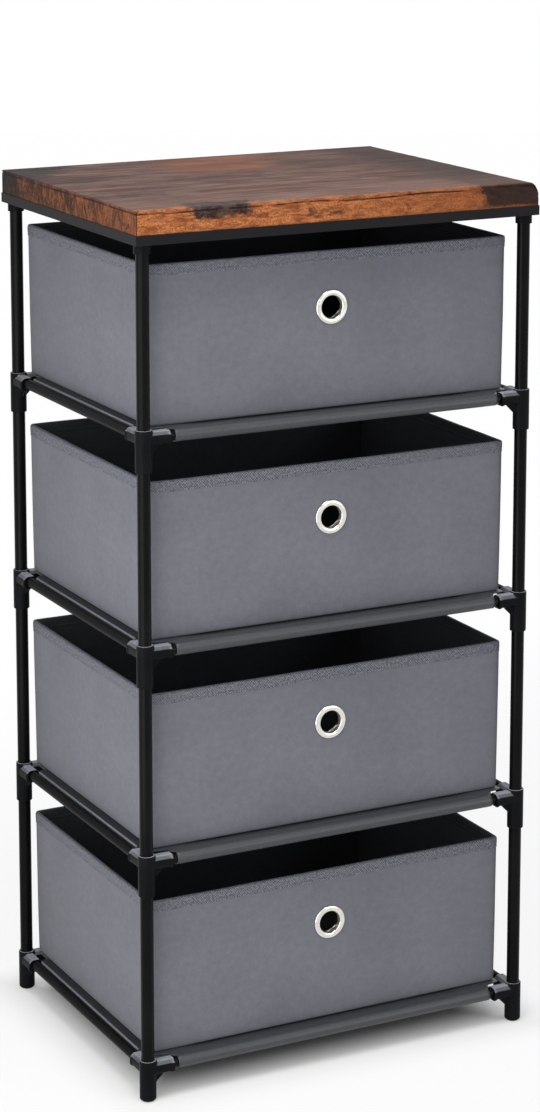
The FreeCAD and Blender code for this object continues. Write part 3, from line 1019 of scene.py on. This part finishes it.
class BoardForm:
    """The thick board: hewn sides, a worn top edge with a crack under it, and a rounded right end."""
    corner = 2.5 * MM
    spacing = 2.4 * MM
    seam = 3.9 * MM
    split_depth = 6 * MM

    def __init__(self, top):
        self.top = top
        self.low, self.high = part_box("top_board")
        self.half = Vector((self.high.x, self.high.y))

    def gap(self, rim, inset, height, crack, hewn):
        """How open a crack is: the long one under the top, or the splits that fork up the front corners."""
        broken = eased(ripple(rim, 55.0, 3.0) + 0.5, 0.0, 0.4)
        wide = 1.0 + 0.6 * ripple(rim, 24.0, 9.0)
        sway = 2.8 * MM * ripple((height, 0), 110.0, 1.0)
        beside = abs(self.half.x - abs(rim.x) - self.half.y + abs(rim.y) + sway) / MM
        fork = max(height - (self.high.z - self.split_depth), 0.0) / MM * 0.5
        split = min(1.5 * max(1 - abs(beside - fork) / 1.5, 0), 1) * (hewn > 0)
        split *= eased(-rim.y, 0.0, self.half.y) * (inset < self.top.edge_wear)
        return max(crack * broken * wide, split)

    def marks(self, rim, height, hewn):
        """How deep the tool marks are, coarse ones and fine ones."""
        spot = Vector((rim.x, rim.y, height))
        coarse, fine = (0.5 + 0.5 * noise.noise(spot * scale) for scale in (70.0, 240.0))
        return hewn * self.top.hewing * coarse + 0.6 * hewn * self.top.hewing * fine

    def point(self, place, out, inset, height, crack, hewn):
        """A point of the finished board and how far it lies in a crack."""
        low, high, top = self.low.z, self.high.z, self.top
        rim = place + out * inset
        gap = self.gap(rim, inset, height, crack, hewn)
        marks = self.marks(rim, height, hewn)
        spot = place - out * (marks + top.crack_depth * gap) * (inset < 3 * MM)
        wobble = 1.6 * MM * ripple(rim, 18.0, 5.0) * eased(height, low + 6 * MM, high - 7 * MM)
        lift = height + wobble * (1 - eased(height, high - 3 * MM, high))
        if inset >= top.edge_wear:
            lift -= marks
        over = min(max(abs(spot.x) - (self.half.x - top.end_rounding), 0.0), top.end_rounding) * (spot.x > 0)
        drop = top.end_drop * (1 - math.sqrt(max(1 - (over / top.end_rounding) ** 2, 0.0)))
        lift = low + (lift - low) * (1 - drop / (high - low))
        return (spot.x, spot.y, min(lift, high)), min(1.15 * gap, 1.0)

    def mesh(self):
        """The board, with its cracks marked for the wood."""
        build = bmesh.new()
        mark = build.verts.layers.float.new("crack")
        grid = []
        low, high = self.low.z, self.high.z
        for inset, *level in board_levels(low, high, self.top.edge_wear, high - self.seam):
            row = []
            for place, out in board_outline(self.half, self.corner, inset, self.spacing):
                spot, depth = self.point(place, out, inset, *level)
                vert = build.verts.new(spot)
                vert[mark] = depth
                row.append(vert)
            grid.append(row)
        for lower, upper in zip(grid, grid[1:]):
            for k in range(len(lower)):
                follow = (k + 1) % len(lower)
                build.faces.new((lower[k], lower[follow], upper[follow], upper[k]))
        build.faces.new(list(reversed(grid[0])))
        build.faces.new(grid[-1])
        return mesh_of(build, "board")


# ---- operators ----

class DRESSER_OT_stage(bpy.types.Operator):
    """Sets up the camera, the floor and the soft light"""
    bl_idname = "dresser.stage"
    bl_label = "Stage"
    # name, place, size and power
    lamps = (
        ("strip", (-0.9, -0.5, 0.7), (0.9, 1.4), 8.0),
        ("fill", (1.9, -3.4, 1.5), (2.0, 2.0), 30.0),
        ("top", (-0.3, -0.7, 3.2), (1.3, 1.3), 48.0),
    )
    ambient = 0.23
    # how far the feet stand from the middle, along X and Y
    feet = (0.241, 0.178)

    def execute(self, context):
        stage = context.scene.dresser_stage
        camera = put("camera", bpy.data.cameras.new("camera"))
        camera.location = stage.camera_place
        camera.rotation_euler = (math.pi / 2 - stage.camera_tilt, 0.0, -stage.camera_pan)
        camera.data.lens = stage.camera_lens
        camera.data.sensor_width = 36.0
        camera.data.shift_y = stage.camera_shift
        camera.data.clip_end = 60.0
        context.scene.camera = camera
        self.floor(stage)
        self.world(context)
        for lamp in self.lamps:
            self.lamp(*lamp)
        context.scene.view_settings.view_transform = "Standard"
        return {"FINISHED"}

    def floor(self, stage):
        """A round pale floor with a painted shadow between the feet, over its own shade there, that fades
        into the white behind it.
        """
        build = bmesh.new()
        bmesh.ops.create_circle(build, cap_ends=True, segments=96, radius=9.0)
        mesh = mesh_of(build, "floor")
        r = Recipe("pale floor")
        place = r.place()
        grain = r.noise(place, 5.0, 3.0)
        tone = stage.floor_colour
        beside = [r.minus(r.math("ABSOLUTE", way), foot) for way, foot in zip(r.parts(place)[:2], self.feet)]
        away = r.math("MAXIMUM", *beside)
        shade = r.mixed(grain, shaded(tone, 0.98), tone)
        # painted shadow: between the feet the floor's colour drops to less than half
        shade = r.mixed(r.between(away, -0.07, 0.02), shaded(tone, 0.45), shade)
        r.surface(Base_Color=shade, Roughness=0.85)
        # most of the floor's own shade goes just outside the feet, and nearly all of it far away
        near = r.times(r.between(away, -0.055, 0.075), 0.87)
        far = r.times(r.between(away, 0.3, 1.2), 0.12)
        fade = r.times(r.plus(near, far), on_show(r.tree))
        white = r.node("ShaderNodeEmission", {"Color": (1.0, 1.0, 1.0), "Strength": 1.0}).outputs[0]
        both = r.node("ShaderNodeMixShader", {0: fade, 1: r.shader.outputs[0], 2: white}).outputs[0]
        r.tree.links.new(both, r.tree.nodes["Material Output"].inputs["Surface"])
        mesh.materials.append(r.material)
        put("floor", mesh)

    def world(self, context):
        """White where it is seen or mirrored, and a soft even light elsewhere."""
        world = bpy.data.worlds.new("studio")
        world.use_nodes = True
        tree = world.node_tree
        back = tree.nodes["Background"]
        back.inputs["Color"].default_value = (1.0, 1.0, 1.0, 1.0)
        level = tree.nodes.new("ShaderNodeMapRange")
        level.inputs["To Min"].default_value = self.ambient
        level.inputs["To Max"].default_value = 1.0
        tree.links.new(on_show(tree), level.inputs["Value"])
        tree.links.new(level.outputs[0], back.inputs["Strength"])
        context.scene.world = world

    @staticmethod
    def lamp(name, place, size, power):
        """A soft light that points at the middle of the tower."""
        light = bpy.data.lights.new(name, "AREA")
        light.shape = "RECTANGLE"
        light.size, light.size_y = size
        light.energy = power
        lamp = put(name, light)
        lamp.visible_camera = False
        lamp.location = place
        aim = Vector((0.0, 0.0, 0.5)) - Vector(place)
        lamp.rotation_euler = aim.to_track_quat("-Z", "Y").to_euler()


class DRESSER_OT_tubes(bpy.types.Operator):
    """Paints the uprights and the rails"""
    bl_idname = "dresser.tubes"
    bl_label = "Tubes and rails"

    def execute(self, context):
        rack = context.scene.dresser_rack
        paint = painted_steel(rack, "painted steel", smooth=0.13, rough=0.22, shine=0.07)
        worn = painted_steel(rack, "worn painted steel", smooth=0.24, rough=0.36, shine=0.025)
        uprights = named(ending="_leg_tubes") + named("front_rail_") + named("rear_rail_")
        sides = named("side_rails_")
        if not uprights or not sides:
            raise RuntimeError("the frame has no tubes")
        finish_nodes(paint, uprights)
        finish_nodes(worn, sides)
        return {"FINISHED"}


class DRESSER_OT_connectors(bpy.types.Operator):
    """Rounds the edges of the moulded corner connectors and gives the top sockets their plastic"""
    bl_idname = "dresser.connectors"
    bl_label = "Corner connectors"

    def execute(self, context):
        rack = context.scene.dresser_rack
        plastic = moulded_plastic(rack)
        names = [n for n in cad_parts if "connector" in n]
        if not names:
            raise RuntimeError("the frame has no connectors")
        for name in names:
            solid = merged(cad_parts[name].data, 1e-6)
            mesh = finished_mesh(solid, rounding(rack.moulding_grain, rack.moulding_rounding))
            add_piece(f"{name}_moulding", mesh, plastic, RACK, [name])
        finish_nodes(plastic, ["top_sockets"])
        return {"FINISHED"}


class DRESSER_OT_top(bpy.types.Operator):
    """Finishes the wooden board and the panel under it"""
    bl_idname = "dresser.top"
    bl_label = "Top"

    def execute(self, context):
        top = context.scene.dresser_top
        wood = RusticWood(top).finish()
        add_piece("wooden_board", BoardForm(top).mesh(), wood, RACK, ["top_board"])
        finish_nodes(painted_panel(top), ["top_backing_panel"])
        return {"FINISHED"}


class ShelfForm:
    """The outline of one shelf, read from its node: a stiff panel between two wider sewn sleeves."""

    def __init__(self, tier):
        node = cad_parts[f"fabric_shelf_{tier}"]
        corners = [node.matrix_world @ v.co for v in node.data.vertices]
        far = max(c.y for c in corners)
        self.sleeve = max(c.x for c in corners if c.y > far - 5 * MM) + 0.1 * MM
        self.wide = max(c.x for c in corners)
        self.deep = max(c.y for c in corners if c.x > self.sleeve)
        self.top = max(c.z for c in corners)


class DRESSER_OT_shelves(bpy.types.Operator):
    """Sews the shelves: a sleeve round each rail and a stiff padded middle"""
    bl_idname = "dresser.shelves"
    bl_label = "Shelves"
    panel_thick = 2.4 * MM
    piping = 1.6 * MM
    # measured backwards from a rail: where its sleeve is sewn together, and where the tail ends
    seam = 24.0 * MM
    tail = 42.0 * MM
    # how much wider a sleeve is at the panel than at its rail, on each side
    flare = 23.0 * MM
    # the flare comes in two steps behind the rail: its share, and where it starts and ends
    flare_steps = ((0.22, 0.5 * MM, 3.5 * MM), (0.78, 9.7 * MM, 12 * MM))
    # how far the waves of the loose tail and of the whole sleeve stand out
    tail_wave = 0.6 * MM
    sleeve_wave = 0.10 * MM
    # how far the seam round a sleeve lies from its end
    end_seam = 4 * MM
    columns = 120

    def execute(self, context):
        cloth = context.scene.dresser_cloth
        material = nonwoven("shelf cloth", cloth.shelf_colour, painted_glints=0.10, satin=True, sheen=0.04)
        # painted shade: the panel's cloth is the shelf cloth at half its colour, for the shade under and
        # beside the drawers
        plain = nonwoven("shelf panel cloth", shaded(cloth.shelf_colour, 0.5), flat=False, sheen=0.0)
        # painted highlight: the hem is much lighter than the shelf cloth, for the light along the shelf's
        # side edge
        hem = nonwoven("hem cloth", cloth.hem_highlight_colour, flat=False, sheen=0.0)
        thread = sewing_thread(cloth)
        tree = stitch_tree()
        for tier in TIERS:
            form = ShelfForm(tier)
            self.panel(tier, form, plain)
            self.hems(tier, form, hem)
            runs = self.sleeve(tier, -1, f"front_rail_{tier}", form, cloth, material)
            runs += self.sleeve(tier, 1, f"rear_rail_{tier}", form, cloth, material)
            stitches(f"shelf_{tier}_stitches", runs, cloth, tree, thread, RACK)
        return {"FINISHED"}

    def panel(self, tier, form, material):
        """The stiff middle: a thin board in its cloth, with soft edges."""
        wide = form.wide - 1.2 * MM
        build = slab((2 * wide, 2 * form.deep, self.panel_thick), (0, 0, form.top - self.panel_thick / 2))
        upright = [e for e in build.edges if abs((e.verts[0].co - e.verts[1].co).normalized().z) > 0.9]
        round_off(build, upright, 5 * MM, segments=5)
        flat = [e for e in build.edges if abs(e.verts[0].co.z - e.verts[1].co.z) < 1e-7 and e.is_manifold
                and len({round(f.normal.z, 2) for f in e.link_faces}) > 1]
        round_off(build, flat, 0.9 * MM)
        mesh = mesh_of(build, "panel")
        add_piece(f"shelf_{tier}_panel", mesh, material, RACK, [f"fabric_shelf_{tier}"])

    def hems(self, tier, form, material):
        """The corded hem along both sides of the panel."""
        build = bmesh.new()
        for side in (-1, 1):
            middle = Vector((side * (form.wide - 1.4 * MM), 0, form.top - 1.8 * MM))
            add_rod(build, self.piping, 2 * form.deep - 8 * MM, middle, 16)
        ends = [e for e in build.edges if abs(e.verts[0].co.y - e.verts[1].co.y) < 1e-6]
        round_off(build, ends, 0.8 * MM)
        add_piece(f"shelf_{tier}_side_hems", mesh_of(build, "hems"), material, RACK)

    def sleeve_path(self, r, cloth, reach):
        """The middle of the cloth round a rail, from its tail to its top edge, as (backward, up).

        r is the radius of the cloth's middle, and reach is how far back the top edge lies.
        """
        sheet = cloth.shelf_thickness

        def dip(back):
            share = min(max((back - 3 * MM) / (reach - 4 * MM), 0.0), 1.0)
            return cloth.shelf_dip * math.sin(math.pi * share)

        under_panel = r + sheet / 2 - self.panel_thick - sheet / 2 - 0.1 * MM
        start = Vector((self.seam, r - dip(self.seam) - sheet - 0.05 * MM))
        points = [(self.tail - back, under_panel) for back in (0.0, 4 * MM, 8 * MM)]
        points += [(self.seam + 4 * MM, (under_panel + start.y) / 2), tuple(start)]
        touch = math.atan2(start.y, start.x) - math.acos(r / start.length)
        leave = Vector((r * math.cos(touch), r * math.sin(touch)))
        points += [tuple(start.lerp(leave, k / 9)) for k in range(1, 9)]
        for k in range(25):
            turn = touch + (-1.5 * math.pi - touch) * k / 24
            points.append((r * math.cos(turn), r * math.sin(turn)))
        points += [(reach * k / 14, r - dip(reach * k / 14)) for k in range(1, 15)]
        return points

    def sleeve(self, tier, side, rail, form, cloth, material):
        """One sleeve round a rail; side is -1 for the front one. Returns its runs of stitches."""
        low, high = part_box(rail)
        sheet = cloth.shelf_thickness
        axis = Vector((0, (low.y + high.y) / 2, (low.z + high.z) / 2))
        radius = form.top - axis.z - sheet / 2
        path = self.sleeve_path(radius, cloth, abs(axis.y) - form.deep - 0.2 * MM)
        bottom = min(range(len(path)), key=lambda k: path[k][1])
        half, columns = form.sleeve, self.columns
        rows, places, run = [], [], 0.0
        for index, (back, up) in enumerate(path):
            if index:
                run += math.hypot(back - path[index - 1][0], up - path[index - 1][1])
            on_top = index > bottom
            free = 0.0
            if index < bottom:
                free = eased(back, 4 * MM, 14 * MM) * (1 - eased(back, 18 * MM, 23 * MM))
            spread = sum(share * eased(back, start, end) for share, start, end in self.flare_steps)
            wide = half + (self.flare * spread if on_top else 0.0)
            sunk = max(radius - up, 0.0) if on_top and back > 0 else 0.0
            across = [wide * (2 * k / columns - 1) for k in range(columns + 1)]
            row = []
            for x in across:
                wave = self.tail_wave * free * ripple((x, run), 26.0, tier * 3.1 + side)
                wave += self.sleeve_wave * ripple((x, run), 60.0, tier * 1.7 + side)
                if on_top:
                    wave = sunk * eased(abs(x), half - 50 * MM, half - 5 * MM) - abs(wave)
                row.append(axis + Vector((x, -side * back, up + wave)))
            rows.append(row)
            places.append([(x, run) for x in across])
        if side < 0:
            rows = [row[::-1] for row in rows]
            places = [row[::-1] for row in places]
        mesh = finished_mesh(sheet_mesh("sleeve", rows, places), thickness(sheet, 0.0))
        name = f"shelf_{tier}_{'front' if side < 0 else 'rear'}_sleeve"
        piece = add_piece(name, mesh, material, RACK, [f"fabric_shelf_{tier}"])
        return self.seams(path, axis, side, half - self.end_seam, sheet / 2)

    @staticmethod
    def seams(path, axis, side, half, skin):
        """Stitches along both long seams of a sleeve, and round it near both ends."""
        runs = [([axis + Vector((x, -side * path[k][0], path[k][1] - skin)) for x in (-half, half)], False)
                for k in (1, 4)]
        for x in (-half, half):
            hoop = []
            for (back, up), (next_back, next_up) in zip(path[5:], path[6:]):
                along = Vector((next_back - back, next_up - up)).normalized()
                hoop.append(axis + Vector((x, -side * (back + along.y * skin), up - along.x * skin)))
            runs.append((hoop, False))
        return runs


class DRESSER_OT_drawers(bpy.types.Operator):
    """Makes the cloth drawers: outer cloth, lining, base board, binding and stitches"""
    bl_idname = "dresser.drawers"
    bl_label = "Drawers"
    # how thick a wall is that the binding wraps
    wall = 4.4 * MM
    # the two bags: inset, height of the floor, how far the rim lies below the mouth, bend of the bottom edge
    outer_bag = (0.0, 0.0, 1.2 * MM, 2.6 * MM)
    lining_bag = (3.5 * MM, 1.35 * MM, 2.4 * MM, 2.4 * MM)

    def execute(self, context):
        cloth = context.scene.dresser_cloth
        outer = nonwoven("drawer cloth", cloth.drawer_colour)
        lining = nonwoven("lining cloth", cloth.lining_colour)
        base = nonwoven("base board cloth", cloth.lining_colour, flat=False)
        binding = woven_binding(cloth)
        thread = sewing_thread(cloth)
        finish_nodes(fibreboard(), named("drawer_", "_wall_boards"))
        tree = stitch_tree()
        for tier in TIERS:
            body = f"drawer_{tier}"
            form = DrawerForm(tier)
            bar = drawer_cutter(form)
            swell = drawer_swell(form, cloth.wall_wave, tier * 11.0, False)
            mesh = self.bag(form, self.outer_bag, swell, cloth.cloth_thickness, bar)
            piece = add_piece(f"{body}_cloth", mesh, outer, body, [f"{body}_shell"])
            self.declare(piece, form, body)

            swell = drawer_swell(form, cloth.lining_wave, tier * 7.0, True)
            mesh = self.bag(form, self.lining_bag, swell, cloth.lining_thickness, bar)
            piece = add_piece(f"{body}_lining_cloth", mesh, lining, body, [f"{body}_lining"])
            self.declare(piece, form, body)
            bpy.data.objects.remove(bar)

            mesh = binding_mesh(form, cloth, self.wall, tier * 5.0)
            add_piece(f"{body}_binding", mesh, binding, body)
            self.base_board(body, base)
            seam = form.tall - cloth.binding_height + BINDING_SEAM
            out = cloth.binding_thickness - 0.05 * MM
            runs = [rim_run(form, out, seam), rim_run(form, -self.wall - out, seam)]
            stitches(f"{body}_stitches", runs, cloth, tree, thread, body)
        return {"FINISHED"}

    @staticmethod
    def bag(form, shape, swell, thick, bar):
        """One layer of cloth, with its thickness and the hole for the eyelet."""
        inset, foot, below, bend = shape
        layers = bag_layers(inset, foot, form.tall - below, bend)
        rows, places = wall_grid(form, layers, form.round_length(), swell)
        sheet = sheet_mesh("bag", rows, places, wrap=True, fill_first=True)
        return finished_mesh(sheet, thickness(thick, -1.0), opening(bar))

    @staticmethod
    def declare(piece, form, body):
        """Works out the area of a bag's flat cloth, and does nothing with it."""
        width, depth = 2 * form.half, form.rear - form.front
        form.round_length() * form.tall + width * depth

    @staticmethod
    def base_board(body, material):
        """The loose board on the floor, in its own cloth."""
        low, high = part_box(f"{body}_base_board")
        build = slab(high - low, (high + low) / 2)
        round_off(build, build.edges[:], 0.9 * MM)
        mesh = mesh_of(build, "base board")
        add_piece(f"{body}_base", mesh, material, body, [f"{body}_base_board"])


class DRESSER_OT_eyelets(bpy.types.Operator):
    """Turns a pressed metal eyelet for each drawer"""
    bl_idname = "dresser.eyelets"
    bl_label = "Eyelets"
    steps = 72
    # the radius of the hole, and how thick the cloths and boards are that the eyelet grips
    hole = 12.0 * MM
    grip = 5.3 * MM

    def execute(self, context):
        plating = plated_ring()
        tree = turning_tree()
        for tier in TIERS:
            body = f"drawer_{tier}"
            low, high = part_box(f"{body}_eyelet")
            outline = eyelet_outline(self.hole, (high.x - low.x) / 2, self.grip)
            points = [(radius, depth, 0.0) for depth, radius in outline]
            ring = finished_mesh(runs_mesh([(points, True)]), growing(
                tree, {"Steps": self.steps, "Material": plating}))
            ring.transform(Matrix.Translation((0.0, DrawerForm(tier).front, (low.z + high.z) / 2)))
            ring = merged(ring, SAME_POINT, outward=True)
            add_piece(f"{body}_ring", ring, plating, body, [f"{body}_eyelet"])
        return {"FINISHED"}


class DRESSER_PT_parts(bpy.types.Panel):
    """Lists the steps that dress the drawer tower"""
    bl_idname = "DRESSER_PT_parts"
    bl_label = "Drawer tower"
    bl_space_type = "VIEW_3D"
    bl_region_type = "UI"
    bl_category = "Drawer tower"

    def draw(self, context):
        for step in STEPS:
            self.layout.operator(step.bl_idname)
        for name in SETTINGS:
            group = getattr(context.scene, name)
            box = self.layout.box()
            for key in group.__annotations__:
                box.prop(group, key)


SETTINGS = {
    "dresser_cloth": ClothSettings,
    "dresser_rack": RackSettings,
    "dresser_top": TopSettings,
    "dresser_stage": StageSettings,
}
STEPS = (DRESSER_OT_stage, DRESSER_OT_tubes, DRESSER_OT_connectors, DRESSER_OT_top, DRESSER_OT_shelves,
         DRESSER_OT_drawers, DRESSER_OT_eyelets)


def register():
    for name, group in SETTINGS.items():
        bpy.utils.register_class(group)
        setattr(bpy.types.Scene, name, PointerProperty(type=group))
    for made in STEPS + (DRESSER_PT_parts,):
        bpy.utils.register_class(made)


def unregister():
    for made in reversed(STEPS + (DRESSER_PT_parts,)):
        bpy.utils.unregister_class(made)
    for name, group in SETTINGS.items():
        delattr(bpy.types.Scene, name)
        bpy.utils.unregister_class(group)


def main():
    """Registers the add-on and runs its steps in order."""
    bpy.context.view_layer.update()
    register()
    for step in STEPS:
        group, call = step.bl_idname.split(".")
        getattr(getattr(bpy.ops, group), call)()


if __name__ == "__main__":
    main()
